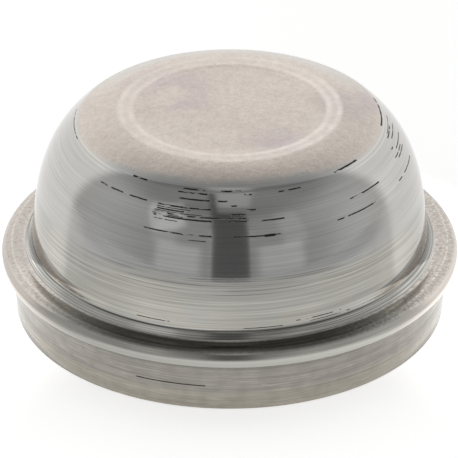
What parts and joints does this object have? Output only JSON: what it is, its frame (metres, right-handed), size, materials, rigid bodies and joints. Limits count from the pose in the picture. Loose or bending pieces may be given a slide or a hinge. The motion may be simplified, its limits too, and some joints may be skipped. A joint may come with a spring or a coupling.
{
  "type": "hub grease cap",
  "caption": "Domed steel cap with a folded flange and a press-fit skirt, pushed into a wheel hub to keep its bearing grease in and dirt out.",
  "frame": {"origin": "centre of the open rim, in the plane that the cap rests on", "axes": "+Z along the axis of the cap, from the open rim to the closed crown; X and Y are free, because the cap is round"},
  "size_m": [0.0588, 0.0588, 0.028],
  "materials": {
    "drawn_steel": "bare drawn sheet steel, burnished on the wall by the die, satin on the crown, flange and skirt, with a light oil film"
  },
  "bodies": {
    "root": {"grease_cap": "drawn_steel"}
  },
  "joints": []
}
